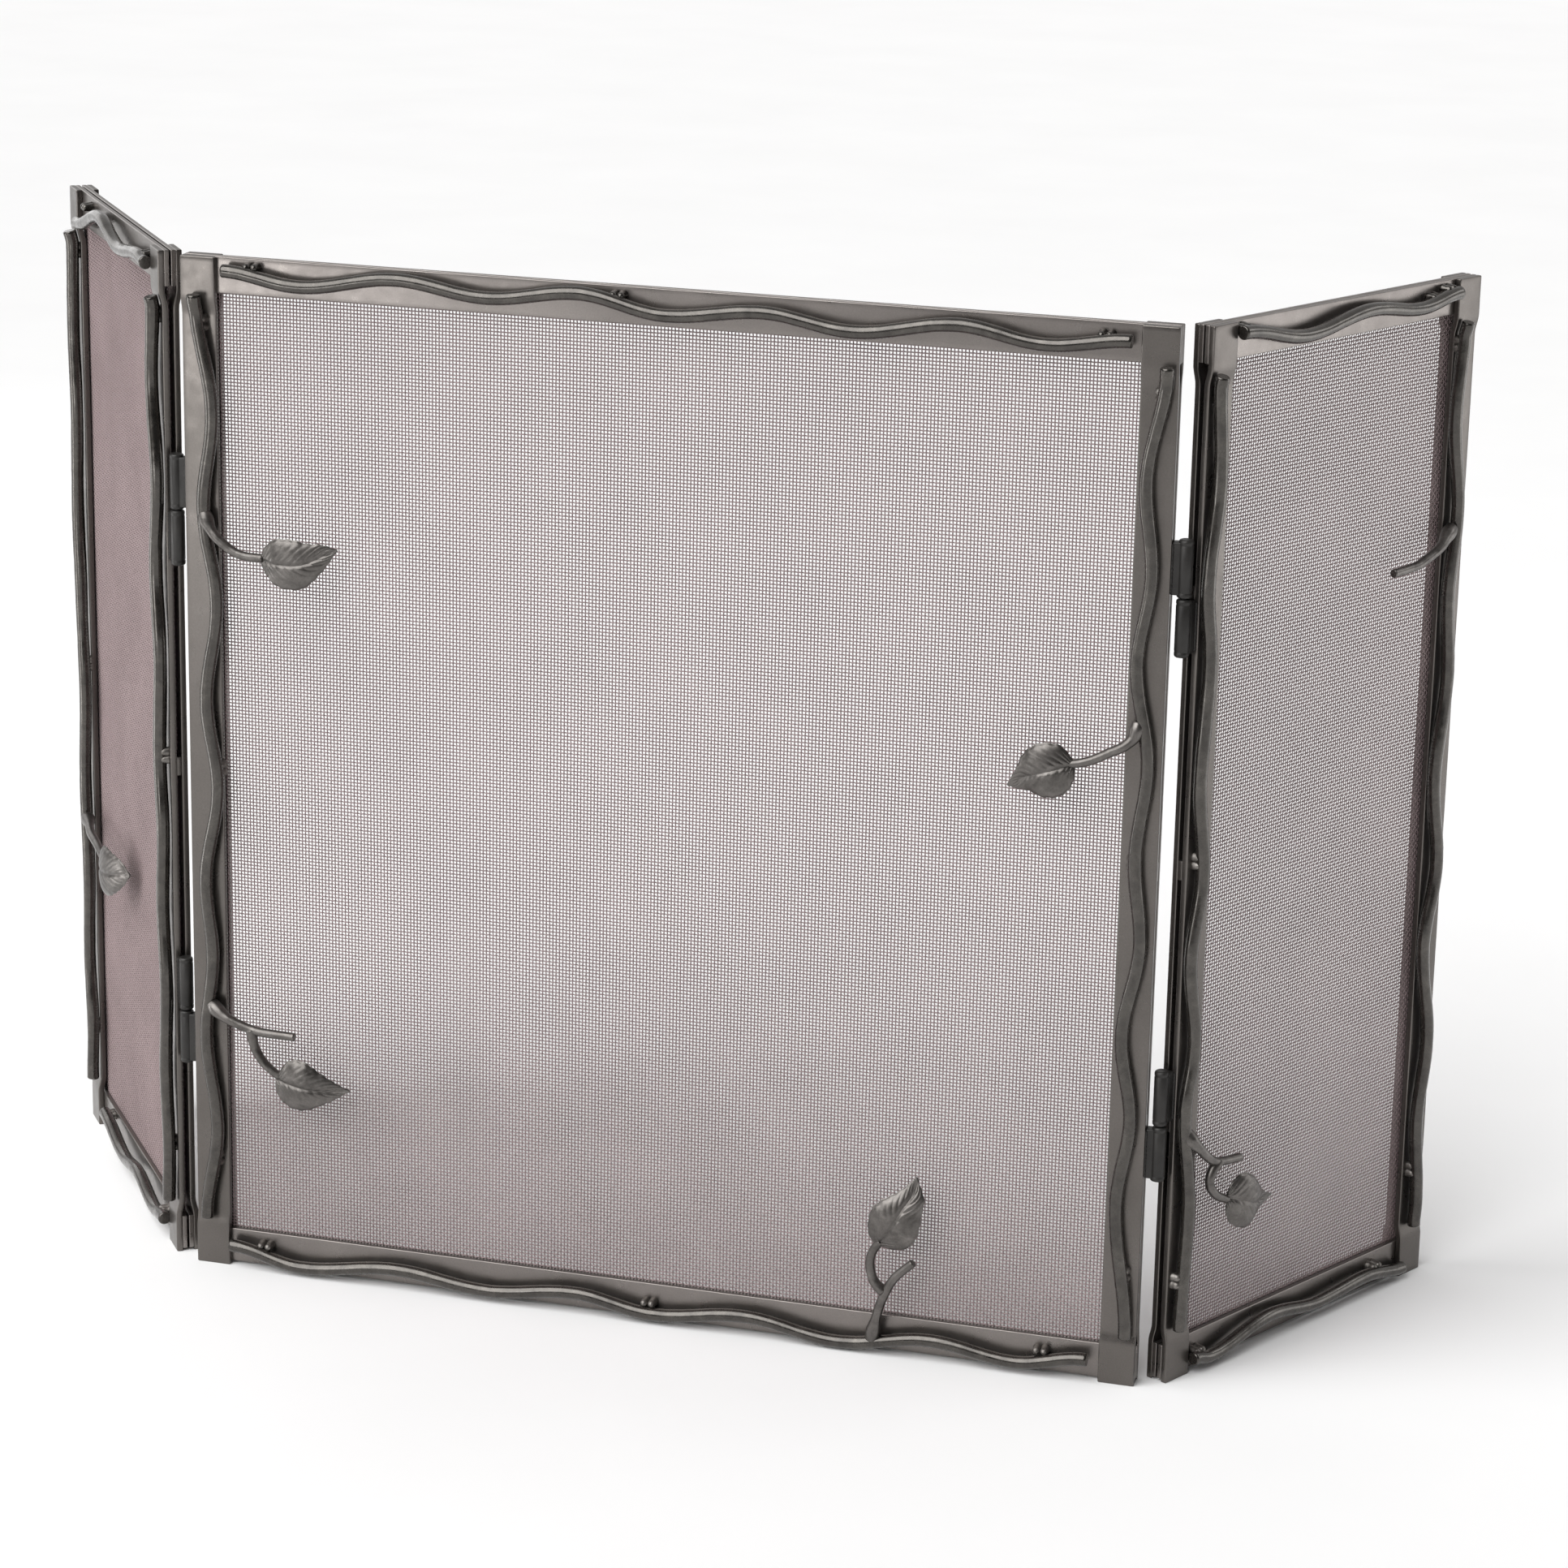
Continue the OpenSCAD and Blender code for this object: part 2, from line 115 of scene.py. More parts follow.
def side_panel(body, axis, fold, sign):
    along = (sign * math.cos(fold), math.sin(fold), 0.0)
    front = (sign * math.sin(fold), -math.cos(fold), 0.0)
    corner = (axis.x + along[0] * HALF_GAP * MM, axis.y + along[1] * HALF_GAP * MM, 0.0)
    return Panel(body, SIDE_W, corner, along, front)


CENTRE_CORNER = (rail_low[0], left_axis.y, 0.0)
CENTRE = Panel("centre_panel", CENTRE_W, CENTRE_CORNER, (1.0, 0.0, 0.0), (0.0, -1.0, 0.0))
LEFT = side_panel("left_panel", left_axis, LEFT_FOLD, -1.0)
RIGHT = side_panel("right_panel", right_axis, RIGHT_FOLD, 1.0)


# ---------------------------------------------------------------- mesh helpers
def new_piece(name, panel, parts, material, replaced):
    """Joins parts, each (points, quads, end polygons), into one piece on a panel.

    Quads are shaded smooth and the flat ends aren't.
    """
    points, quads, rings, base = [], [], [], 0
    for part_points, part_quads, part_rings in parts:
        points.append(np.asarray(part_points, float).reshape(-1, 3))
        if len(part_quads):
            quads.append(np.asarray(part_quads) + base)
        rings += [[base + i for i in ring] for ring in part_rings]
        base += len(points[-1])
    points = panel.place(np.concatenate(points))
    quads = np.concatenate(quads) if quads else np.zeros((0, 4), int)
    if panel.flips:
        quads = quads[:, ::-1]
        rings = [ring[::-1] for ring in rings]
    mesh = bpy.data.meshes.new(name)
    mesh.vertices.add(len(points))
    mesh.vertices.foreach_set("co", points.astype(np.float32).ravel())
    flat = np.concatenate([quads.ravel(), np.array([i for ring in rings for i in ring], int)])
    sizes = np.array([4] * len(quads) + [len(ring) for ring in rings], np.int32)
    mesh.loops.add(len(flat))
    mesh.loops.foreach_set("vertex_index", flat.astype(np.int32))
    mesh.polygons.add(len(sizes))
    starts = np.concatenate([[0], np.cumsum(sizes)[:-1]])
    mesh.polygons.foreach_set("loop_start", starts.astype(np.int32))
    mesh.polygons.foreach_set("use_smooth", sizes == 4)
    mesh.update(calc_edges=True)
    mesh.validate()
    mesh.materials.append(material)
    piece = bpy.data.objects.new(name, mesh)
    bpy.context.scene.collection.objects.link(piece)
    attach(piece, panel.body)
    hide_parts(*replaced)


def skin(rings):
    """Closed surface through rings of equal length, with flat end polygons."""
    rings = np.asarray(rings, float)
    count, around = rings.shape[:2]
    i = np.arange(count - 1)[:, None] * around
    k = np.arange(around)[None, :]
    after = (k + 1) % around
    quads = np.stack([i + k, i + after, i + around + after, i + around + k], -1).reshape(-1, 4)
    ends = [list(range(around))[::-1], [(count - 1) * around + j for j in range(around)]]
    return rings.reshape(-1, 3), quads, ends


def unit(vectors):
    return vectors / np.maximum(np.linalg.norm(vectors, axis=-1, keepdims=True), 1e-9)


def smooth_path(points, spacing):
    """Catmull-Rom curve through the points, resampled to even steps."""
    p = np.asarray(points, float)
    p = np.vstack([2 * p[0] - p[1], p, 2 * p[-1] - p[-2]])
    t = np.linspace(0, 1, 24, endpoint=False)[:, None]
    out = []
    for a, b, c, d in zip(p[:-3], p[1:-2], p[2:-1], p[3:]):
        square = (2 * a - 5 * b + 4 * c - d) * t**2
        cube = (3 * b - a - 3 * c + d) * t**3
        out.append(0.5 * (2 * b + (c - a) * t + square + cube))
    out = np.vstack(out + [p[-2:-1]])
    return resample(out, spacing)


def run_along(path):
    """Distance from the start of a path to each of its points."""
    return np.concatenate([[0], np.cumsum(np.linalg.norm(np.diff(path, axis=0), axis=1))])


def evenly(path, count):
    """The same path through a number of points at even distances."""
    run = run_along(path)
    at = np.linspace(0, run[-1], count)
    return np.stack([np.interp(at, run, path[:, k]) for k in range(path.shape[1])], 1)


def resample(path, spacing):
    return evenly(path, max(int(round(run_along(path)[-1] / spacing)), 4) + 1)


# No dent is deeper than this share of a rod's radius.
DEEPEST_DENT = 0.35


def hammer_marks(lengths, angles, mean_r, rng, depth, spread, density):
    """Shallow dents all round a rod: how far each point of its grid is pushed in."""
    count = int(lengths[-1] * density)
    centres = rng.uniform(0, lengths[-1], count)
    turns = rng.uniform(0, 2 * math.pi, count)
    widths = rng.uniform(0.7, 1.3, count) * spread
    depths = rng.uniform(0.3, 1.0, count) * depth
    marks = np.zeros((len(lengths), len(angles)))
    for centre, turn, width, deep in zip(centres, turns, widths, depths):
        near = np.abs(lengths - centre) < 3 * width
        across = (angles - turn + math.pi) % (2 * math.pi) - math.pi
        along = (lengths[near] - centre)[:, None] / width
        reach = along**2 + (across[None, :] * mean_r / width) ** 2
        marks[near] = np.maximum(marks[near], deep * np.exp(-reach))
    return marks


def rod(
    path, radii, rng, sides=24, depth=0.14, spread=4.5, density=0.35, bevel=0.7,
    reference=(0.0, 1.0, 0.0),
):
    """Forged round rod along a path, with dents and softly bevelled cut ends.

    depth, spread and density are of its dents. reference is any direction that
    the path never runs along.
    """
    tangents = unit(np.gradient(path, axis=0))
    side = unit(np.cross(tangents, np.array(reference)))
    front = np.cross(side, tangents)
    angles = np.linspace(0, 2 * math.pi, sides, endpoint=False)
    marks = hammer_marks(run_along(path), angles, radii.mean(), rng, depth, spread, density)
    ring_r = radii[:, None] - np.minimum(marks, DEEPEST_DENT * radii[:, None])
    cosines, sines = np.cos(angles)[None, :, None], np.sin(angles)[None, :, None]
    circle = cosines * side[:, None] + sines * front[:, None]
    rings = path[:, None] + ring_r[..., None] * circle
    start = path[0] - tangents[0] * bevel + (ring_r[0] - bevel)[:, None] * circle[0]
    end = path[-1] + tangents[-1] * bevel + (ring_r[-1] - bevel)[:, None] * circle[-1]
    return skin(np.concatenate([start[None], rings, end[None]]))


def rounded_section(width, height, corner, long_steps, short_steps=2, corner_steps=4):
    """Points round a rectangle with rounded corners, centred on zero."""
    w, h = width / 2 - corner, height / 2 - corner
    points = []
    sides = (
        (w, h, 0, long_steps, (-w, h + corner)),
        (-w, h, 90, short_steps, (-w - corner, -h)),
        (-w, -h, 180, long_steps, (w, -h - corner)),
        (w, -h, 270, short_steps, (w + corner, h)),
    )
    for cx, cy, start, steps, target in sides:
        for a in np.radians(np.linspace(start, start + 90, corner_steps + 1)):
            points.append((cx + corner * math.cos(a), cy + corner * math.sin(a)))
        x, y = points[-1]
        for t in np.linspace(0, 1, steps + 1)[1:-1]:
            points.append((x + t * (target[0] - x), y + t * (target[1] - y)))
    return np.array(points)


def ripples(a, b, rng, wave, height, waves=7):
    """Low uneven swell over a surface, as rolled and straightened bar has."""
    total = np.zeros(np.broadcast(a, b).shape)
    for _ in range(waves):
        turn = rng.uniform(0, 2 * math.pi)
        scale = 2 * math.pi / (wave * rng.uniform(0.6, 1.8))
        distance = a * math.cos(turn) + b * math.sin(turn)
        total += np.sin(distance * scale + rng.uniform(0, 2 * math.pi))
    return total * height / waves


def ease_in(stations, corner):
    """Scale-down of a bar's section near its two ends, which rounds its edges."""
    from_end = np.minimum(stations - stations[0], stations[-1] - stations)
    t = np.clip(from_end / corner, 0, 1)
    return corner * (1 - np.sqrt(1 - (1 - t) ** 2))


def bar_stations(low, high, corner, step):
    ends = corner * (1 - np.cos(np.linspace(0, math.pi / 2, 4)))
    middle = np.linspace(low + corner, high - corner, int((high - low) / step))
    return np.concatenate([low + ends[:-1], middle, high - ends[:-1][::-1]])


def flat_bar(stations, width, thickness, corner, middle_of, long_steps=8):
    """Rings and section of a flat bar along one line.

    middle_of gives the section's middle and its two directions at a station.
    """
    section = rounded_section(width, thickness, corner, long_steps)
    shrink = ease_in(stations, corner)
    rings = []
    for station, inset in zip(stations, shrink):
        middle, across, through = middle_of(station)
        x = section[:, 0] * (1 - 2 * inset / width)
        y = section[:, 1] * (1 - 2 * inset / thickness)
        rings.append(middle + x[:, None] * across + y[:, None] * through)
    return np.array(rings), section


def wave_path(wave, spacing):
    """Cosine wave through [distance, offset] crests and troughs."""
    wave = np.asarray(wave, float)
    at = np.arange(wave[0, 0], wave[-1, 0], spacing * 0.5)
    at = np.append(at, wave[-1, 0])
    i = np.clip(np.searchsorted(wave[:, 0], at, side="right") - 1, 0, len(wave) - 2)
    t = (at - wave[i, 0]) / (wave[i + 1, 0] - wave[i, 0])
    offset = wave[i, 1] + (1 - np.cos(np.pi * t)) / 2 * (wave[i + 1, 1] - wave[i, 1])
    return np.stack([at, offset], 1)


def step_at(height):
    """How far a stile bar stands out at this height, to clear the rails."""
    t = (min(height, SCREEN_H - height) - END_FLAT) / BEND_L
    if t <= 0:
        return JOGGLE
    return 0.0 if t >= 1 else JOGGLE * (1 + math.cos(math.pi * t)) / 2


# ---------------------------------------------------------------- materials
class Nodes:
    """A new material, with short ways to add and link its shader nodes."""

    def __init__(self, name):
        self.material = bpy.data.materials.new(name)
        self.material.use_nodes = True
        self.tree = self.material.node_tree
        self.shader = self.tree.nodes["Principled BSDF"]
        self.place = self.add("ShaderNodeTexCoord").outputs["Object"]

    def add(self, kind, values=()):
        node = self.tree.nodes.new(kind)
        for key, value in values:
            node.inputs[key].default_value = value
        return node

    def link(self, source, target):
        self.tree.links.new(source, target)

    def noise(self, scale, detail=4.0, roughness=0.55, distortion=0.0):
        node = self.add("ShaderNodeTexNoise", (
            ("Scale", scale), ("Detail", detail),
            ("Roughness", roughness), ("Distortion", distortion)))
        self.link(self.place, node.inputs["Vector"])
        return node.outputs["Fac"]

    def ramp(self, source, stops):
        node = self.add("ShaderNodeValToRGB")
        elements = node.color_ramp.elements
        while len(elements) < len(stops):
            elements.new(0.5)
        for element, (position, colour) in zip(elements, stops):
            element.position = position
            element.color = (*colour, 1.0)
        self.link(source, node.inputs["Fac"])
        return node.outputs["Color"]

    def spread(self, source, low, high):
        """Stretches the middle of a noise's range over low to high."""
        node = self.add("ShaderNodeMapRange", (
            ("From Min", 0.3), ("From Max", 0.7), ("To Min", low), ("To Max", high)))
        self.link(source, node.inputs["Value"])
        return node.outputs["Result"]

    def multiply(self, first, second):
        node = self.add("ShaderNodeMix")
        node.data_type = "RGBA"
        node.blend_type = "MULTIPLY"
        node.inputs["Factor"].default_value = 1.0
        self.link(first, node.inputs["A"])
        self.link(second, node.inputs["B"])
        return node.outputs["Result"]

    def bump(self, heights):
        """Chains (height, strength, distance in m) into one normal."""
        normal = None
        for height, strength, distance in heights:
            node = self.add("ShaderNodeBump")
            node.inputs["Strength"].default_value = strength
            node.inputs["Distance"].default_value = distance
            self.link(height, node.inputs["Height"])
            if normal is not None:
                self.link(normal, node.inputs["Normal"])
            normal = node.outputs["Normal"]
        self.link(normal, self.shader.inputs["Normal"])


def frame_steel(name, dark, light):
    """Satin pewter-brown finish with fine speckle on flat bar."""
    n = Nodes(name)
    cloudy = n.noise(9.0, 5.0, 0.6)
    speckle = n.noise(900.0, 3.0, 0.7)
    tone = n.ramp(cloudy, [(0.32, dark), (0.68, light)])
    grain = n.ramp(speckle, [(0.35, (0.93, 0.93, 0.93)), (0.65, (1.04, 1.04, 1.04))])
    n.link(n.multiply(tone, grain), n.shader.inputs["Base Color"])
    n.link(n.spread(n.noise(60.0, 6.0, 0.65), 0.25, 0.36), n.shader.inputs["Roughness"])
    n.shader.inputs["Metallic"].default_value = 0.9
    n.bump([(n.noise(22.0, 3.0), 0.2, 0.0008), (speckle, 0.12, 0.00006)])
    return n.material


def forged_steel(name, dark, light, rough, coat):
    """Blackened forged steel, burnished paler on its scale marks and waxed."""
    n = Nodes(name)
    scale_marks = n.noise(75.0, 6.0, 0.62, 0.6)
    fine = n.noise(620.0, 4.0, 0.65)
    tone = n.ramp(scale_marks, [(0.34, dark), (0.60, light), (0.80, tuple(c * 1.5 for c in light))])
    grain = n.ramp(fine, [(0.32, (0.86, 0.86, 0.86)), (0.68, (1.08, 1.08, 1.08))])
    n.link(n.multiply(tone, grain), n.shader.inputs["Base Color"])
    gloss = n.spread(n.noise(110.0, 5.0, 0.6), rough - 0.06, rough + 0.10)
    n.link(gloss, n.shader.inputs["Roughness"])
    n.shader.inputs["Metallic"].default_value = 0.92
    n.shader.inputs["Coat Weight"].default_value = coat
    n.shader.inputs["Coat Roughness"].default_value = 0.12
    n.bump([(scale_marks, 0.14, 0.0004), (fine, 0.15, 0.00008)])
    return n.material


def wire_steel():
    """Drawn wire of the cloth: dark, slightly warm, with a dull sheen."""
    n = Nodes("wire_steel")
    dark, light = (0.254, 0.196, 0.197), (0.312, 0.243, 0.244)
    tone = n.ramp(n.noise(14.0, 5.0, 0.6), [(0.30, dark), (0.70, light)])
    n.link(tone, n.shader.inputs["Base Color"])
    n.link(n.spread(n.noise(240.0), 0.48, 0.60), n.shader.inputs["Roughness"])
    n.shader.inputs["Metallic"].default_value = 0.35
    return n.material


def hinge_black():
    """Near-black painted steel with faint orange peel."""
    n = Nodes("hinge_black")
    dark, light = (0.016, 0.015, 0.014), (0.034, 0.032, 0.030)
    tone = n.ramp(n.noise(40.0, 5.0), [(0.30, dark), (0.72, light)])
    n.link(tone, n.shader.inputs["Base Color"])
    n.link(n.spread(n.noise(180.0), 0.36, 0.52), n.shader.inputs["Roughness"])
    n.shader.inputs["Metallic"].default_value = 0.35
    n.bump([(n.noise(420.0, 3.0), 0.25, 0.0002)])
    return n.material


def weld_steel():
    """Filed weld metal: brighter, with a coarse rippled skin."""
    n = Nodes("weld_steel")
    tone = n.ramp(n.noise(300.0, 4.0), [(0.30, (0.13, 0.12, 0.11)), (0.70, (0.25, 0.235, 0.22))])
    n.link(tone, n.shader.inputs["Base Color"])
    n.link(n.spread(n.noise(420.0), 0.40, 0.58), n.shader.inputs["Roughness"])
    n.shader.inputs["Metallic"].default_value = 1.0
    n.bump([(n.noise(500.0, 3.0), 0.3, 0.0003)])
    return n.material


STILE = frame_steel("stile_steel", (0.128, 0.117, 0.108), (0.160, 0.146, 0.136))
# The rails and backing strips get a lighter copy of the stile finish: painted light, standing in
# for the extra light the rails' faces catch.
LIT_RAIL_STEEL = frame_steel("rail_steel_painted_lighter", (0.198, 0.180, 0.169), (0.248, 0.226, 0.212))
BRANCH = forged_steel("branch_steel", (0.060, 0.055, 0.050), (0.088, 0.081, 0.073), 0.24, 0.4)
LEAF = forged_steel("leaf_steel", (0.096, 0.089, 0.083), (0.158, 0.147, 0.138), 0.36, 0.1)
WIRE = wire_steel()
HINGE = hinge_black()
WELD = weld_steel()


# ---------------------------------------------------------------- frame bars
ALONG, DEPTH, HEIGHT = np.eye(3)
STILE_CORNER = 0.8
RAIL_CORNER = 0.6


def stile_bar(name, panel, along, front, seed):
    """Upright flat bar, stepped out near both ends. front is 1 or -1."""
    rng = np.random.default_rng(seed)
    stations = bar_stations(0.0, SCREEN_H, STILE_CORNER, 3.2)
    mid_depth = (STILE_GAP + STILE_T) / 2

    def middle_of(height):
        depth = front * (mid_depth + step_at(height))
        return np.array([along + BAR_W / 2, depth, height]), ALONG, DEPTH

    rings, section = flat_bar(stations, BAR_W, STILE_T, STILE_CORNER, middle_of)
    swell = ripples(section[None, :, 0], stations[:, None], rng, 90.0, 0.10)
    rings[:, :, 1] += front * np.minimum(swell, 0.0)
    new_piece(name + "_bar", panel, [skin(rings)], STILE, [name])


def level_bars(name, ending, panel, heights, front, seed):
    """Rails in front of the cloth, or the strips behind it."""
    rng = np.random.default_rng(seed)
    depth = front * (CLAMP_GAP + RAIL_T) / 2
    parts = []
    for low in heights:
        stations = bar_stations(0.0, panel.width, RAIL_CORNER, 3.6)

        def middle_of(along, low=low):
            return np.array([along, depth, low + BAR_W / 2]), HEIGHT, DEPTH

        rings, section = flat_bar(stations, BAR_W, RAIL_T, RAIL_CORNER, middle_of)
        swell = ripples(section[None, :, 0], stations[:, None], rng, 80.0, 0.09)
        rings[:, :, 1] -= front * np.maximum(swell, 0.0)
        points, quads, ends = skin(rings)
        parts.append((points, quads[:, ::-1], [ring[::-1] for ring in ends]))
    # Rails and strips take the lighter copy of the frame finish, which is painted light.
    new_piece(name + ending, panel, parts, LIT_RAIL_STEEL, [name])


def block(low, high, corner):
    """Small rounded block between two corners."""
    low, high = np.array(low, float), np.array(high, float)
    stations = bar_stations(low[2], high[2], corner, 2.5)
    middle = (low + high) / 2

    def middle_of(height):
        return np.array([middle[0], middle[1], height]), ALONG, DEPTH

    rings, _ = flat_bar(stations, high[0] - low[0], high[1] - low[1], corner, middle_of, 3)
    return skin(rings)


def spacers(name, panel):
    parts = []
    for middle in (HINGE_MIDDLES["lower"], SCREEN_H / 2, HINGE_MIDDLES["upper"]):
        for along in (0.3, panel.width - CLOTH_INSET + 0.7):
            low = (along, -STILE_GAP / 2, middle - SPACER_H / 2)
            high = (along + CLOTH_INSET - 1, STILE_GAP / 2, middle + SPACER_H / 2)
            parts.append(block(low, high, 0.5))
    new_piece(name + "_blocks", panel, parts, STILE, [name])


STILES = {
    CENTRE: ("centre_left_stile", "centre_right_stile"),
    LEFT: ("left_inner_stile", "left_outer_stile"),
    RIGHT: ("right_inner_stile", "right_outer_stile"),
}
PREFIX = {CENTRE: "centre", LEFT: "left", RIGHT: "right"}

for number, (panel, names) in enumerate(STILES.items()):
    prefix = PREFIX[panel]
    for k, (name, along) in enumerate(zip(names, (0.0, panel.width - BAR_W))):
        stile_bar(name + "_front", panel, along, 1, 100 * number + 10 * k + 1)
        stile_bar(name + "_back", panel, along, -1, 100 * number + 10 * k + 2)
    top = SCREEN_H - BAR_W
    level_bars(prefix + "_top_rail", "_bar", panel, [top], 1, 100 * number + 31)
    level_bars(prefix + "_bottom_rail", "_bar", panel, [FOOT_H], 1, 100 * number + 32)
    level_bars(prefix + "_backing_strips", "_bars", panel, [FOOT_H, top], -1, 100 * number + 33)
    spacers(prefix + "_stile_spacers", panel)


# ---------------------------------------------------------------- wire cloth
def wire_run(places, crossings, phase, upright, crimp, radius):
    """Parallel crimped wires of diamond section: each passes over and under by turns."""
    count, length = len(places), len(crossings)
    turn = 1 - 2 * ((np.arange(count)[:, None] + np.arange(length)[None, :] + phase) % 2)
    depth = turn * crimp
    corners = np.array([(1, 0), (0, 1), (-1, 0), (0, -1)]) * radius
    points = np.zeros((count, length, 4, 3))
    for k, (sideways, deep) in enumerate(corners):
        if upright:
            points[:, :, k, 0] = places[:, None] + sideways
            points[:, :, k, 2] = crossings[None, :]
        else:
            points[:, :, k, 0] = crossings[None, :]
            points[:, :, k, 2] = places[:, None] + sideways
        points[:, :, k, 1] = depth + deep
    w = np.arange(count)[:, None, None] * length * 4
    i = np.arange(length - 1)[None, :, None] * 4
    k = np.arange(4)[None, None, :]
    a, b = w + i + k, w + i + (k + 1) % 4
    quads = np.stack([a, b, b + 4, a + 4], -1).reshape(-1, 4)
    first = (w[:, 0, 0][:, None] + np.array([3, 2, 1, 0])[None, :])
    last = (w[:, 0, 0][:, None] + (length - 1) * 4 + np.array([0, 1, 2, 3])[None, :])
    quads = np.concatenate([quads, first, last])
    if not upright:
        quads = quads[:, ::-1]
    return points.reshape(-1, 3), quads, []


def wire_cloth(panel, sheets):
    """Plain weave: upright and level wires, in a few pieces of each."""
    prefix = PREFIX[panel]
    node = prefix + "_wire_cloth"
    radius = WIRE_D / 2
    uprights = np.arange(CLOTH_INSET, panel.width - CLOTH_INSET, MESH_PITCH)
    levels = np.arange(CLOTH_INSET, SCREEN_H - CLOTH_INSET, MESH_PITCH)
    uprights += (panel.width - uprights[0] - uprights[-1]) / 2
    levels += (SCREEN_H - levels[0] - levels[-1]) / 2
    for number, chosen in enumerate(np.array_split(np.arange(len(uprights)), sheets)):
        run = wire_run(uprights[chosen], levels, chosen[0], True, radius, radius)
        new_piece(f"{node}_upright_wires_{number + 1}", panel, [run], WIRE, [node])
    for number, chosen in enumerate(np.array_split(np.arange(len(levels)), sheets)):
        run = wire_run(levels[chosen], uprights, chosen[0] + 1, False, radius, radius)
        new_piece(f"{node}_level_wires_{number + 1}", panel, [run], WIRE, [node])


for panel, sheets in ((CENTRE, 4), (LEFT, 2), (RIGHT, 2)):
    wire_cloth(panel, sheets)


# ---------------------------------------------------------------- branches
LEVEL_WAVES = {
    "centre_top_branch": [
        (34, 753.5), (91, 746), (164, 756), (231, 748), (297, 756),
        (361, 745), (429, 752), (494, 743.5), (567, 753.5), (629, 744.5), (686, 751)],
    "centre_bottom_branch": [
        (29, 17.5), (85, 7), (160, 15.5), (231, 8.5), (300, 16), (360, 7.5),
        (430, 15.5), (500, 6), (570, 16), (631, 8.5), (684, 17.5)],
    "right_top_branch": [(27, 755), (99, 744.5), (172, 753.5), (232, 747.5), (277, 753.5)],
    "right_bottom_branch": [(27, 12), (46, 8.5), (116, 19.5), (174, 12.5), (232, 15.5), (281, 9)],
    "left_top_branch": [(27, 749), (48, 751), (113, 745), (181, 757), (266, 740)],
    "left_bottom_branch": [(27, 17), (62, 13), (119, 20.5), (166, 15), (243, 25)],
}
UPRIGHT_WAVES = {
    "centre_left_branch": [
        (38, 10), (110, 19.5), (183, 12), (245, 18), (300, 13.5), (375, 24),
        (438, 16.5), (512, 25.5), (582, 16.5), (650, 24), (735, 12.5)],
    "centre_right_branch": [
        (38, 711), (138, 700.5), (200, 708), (262, 699.5), (330, 709.5), (392, 703.5),
        (456, 709.5), (530, 699), (592, 706.5), (655, 700), (735, 711.5)],
    "right_inner_branch": [
        (40, 9), (130, 13), (205, 4), (252, 11), (318, 2), (378, 11),
        (445, 3), (528, 8), (583, 2), (660, 9.5), (728, 5)],
    "right_outer_branch": [
        (40, 293), (58, 294), (125, 288), (186, 295), (265, 282.5), (325, 293),
        (395, 283), (470, 291.5), (532, 286), (592, 291.5), (662, 281.5), (731, 287)],
    "left_inner_branch": [
        (40, 9), (80, 5), (140, 11), (208, 4), (270, 11), (330, 5),
        (385, 11), (462, 4), (530, 12), (596, 2), (668, 14), (728, 6)],
    "left_outer_branch": [
        (40, 286), (90, 280), (145, 287), (215, 281), (290, 287), (365, 279),
        (440, 285), (515, 290), (590, 285), (655, 290), (730, 286)],
}
PANEL_OF = {"centre": CENTRE, "left": LEFT, "right": RIGHT}


def panel_for(name):
    return PANEL_OF[name.split("_")[0]]


def branch(name, path, seed):
    rng = np.random.default_rng(seed)
    path = resample(path, RING_STEP)
    run = np.linspace(0, 1, len(path)) * len(path) * RING_STEP
    radii = BRANCH_R + ripples(run, 0 * run, rng, 60.0, 0.35) - 0.1
    new_piece(name + "_rod", panel_for(name), [rod(path, radii, rng)], BRANCH, [name])


for seed, (name, wave) in enumerate(LEVEL_WAVES.items()):
    line = wave_path(wave, RING_STEP)
    branch(name, np.stack([line[:, 0], np.full(len(line), BRANCH_D), line[:, 1]], 1), 500 + seed)

for seed, (name, wave) in enumerate(UPRIGHT_WAVES.items()):
    line = wave_path(wave, RING_STEP)
    depths = [BRANCH_D + step_at(height) for height in line[:, 0]]
    branch(name, np.stack([line[:, 1], depths, line[:, 0]], 1), 600 + seed)


# ---------------------------------------------------------------- pegs and welds
PEGS = {
    "centre": [
        (54, 756.5, RAIL_FRONT), (325, 756, RAIL_FRONT), (668, 753.5, RAIL_FRONT),
        (55, 19, RAIL_FRONT), (356, 14.5, RAIL_FRONT), (650, 18.5, RAIL_FRONT),
        (17, 715, STILE_FRONT), (26, 388, STILE_FRONT), (19, 85, STILE_FRONT),
        (706, 715, STILE_FRONT), (700, 388, STILE_FRONT), (709, 85, STILE_FRONT)],
    "right": [
        (32, 757.5, RAIL_FRONT), (252, 752.5, RAIL_FRONT), (269, 756.5, RAIL_FRONT),
        (36, 15, RAIL_FRONT), (249, 18.5, RAIL_FRONT),
        (9, 715, STILE_FRONT), (8, 388, STILE_FRONT), (6, 77, STILE_FRONT),
        (285, 715, STILE_FRONT), (286, 388, STILE_FRONT), (289, 85, STILE_FRONT)],
    "left": [
        (40, 753, RAIL_FRONT), (244, 755, RAIL_FRONT),
        (40, 19, RAIL_FRONT), (240, 24, RAIL_FRONT),
        (10, 715, STILE_FRONT), (8, 388, STILE_FRONT), (9, 85, STILE_FRONT),
        (289, 715, STILE_FRONT), (281, 388, STILE_FRONT), (284, 85, STILE_FRONT)],
}
# A peg is two weld lobes side by side. These angles climb a lobe's domed end.
LOBE_OFFSET = 2.9
DOME_TURNS = np.linspace(0.15, 1.45, 7)


